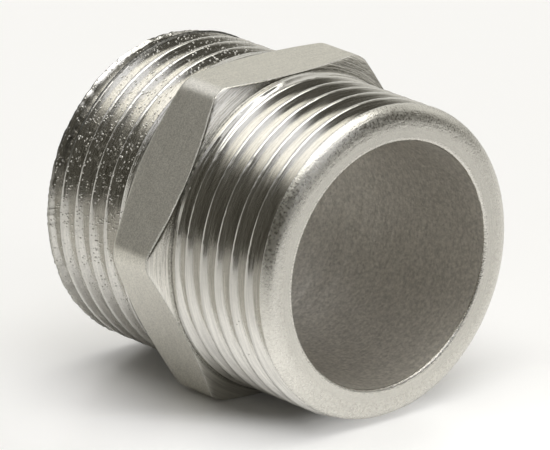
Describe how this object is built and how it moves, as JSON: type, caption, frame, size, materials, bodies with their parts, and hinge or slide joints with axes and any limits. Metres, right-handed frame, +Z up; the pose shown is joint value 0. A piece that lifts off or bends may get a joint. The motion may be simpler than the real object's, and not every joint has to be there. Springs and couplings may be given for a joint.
{
  "type": "hex nipple",
  "caption": "One-piece plated brass hex nipple with a male pipe thread on each end, a hexagon collar between them and a plain through bore.",
  "frame": {"origin": "centre of the overall box, on the bore's axis", "axes": "+X along the bore's axis towards the longer threaded end, +Z up out of one hexagon flat, +Y through a hexagon corner"},
  "size_m": [0.0354, 0.0382, 0.0338],
  "materials": {
    "nickel_plate": "nickel plate on brass: satin on the flats and end faces, glossy on the thread crests, dull grey in the bore"
  },
  "bodies": {
    "root": {"nipple_body": "nickel_plate"}
  },
  "joints": []
}
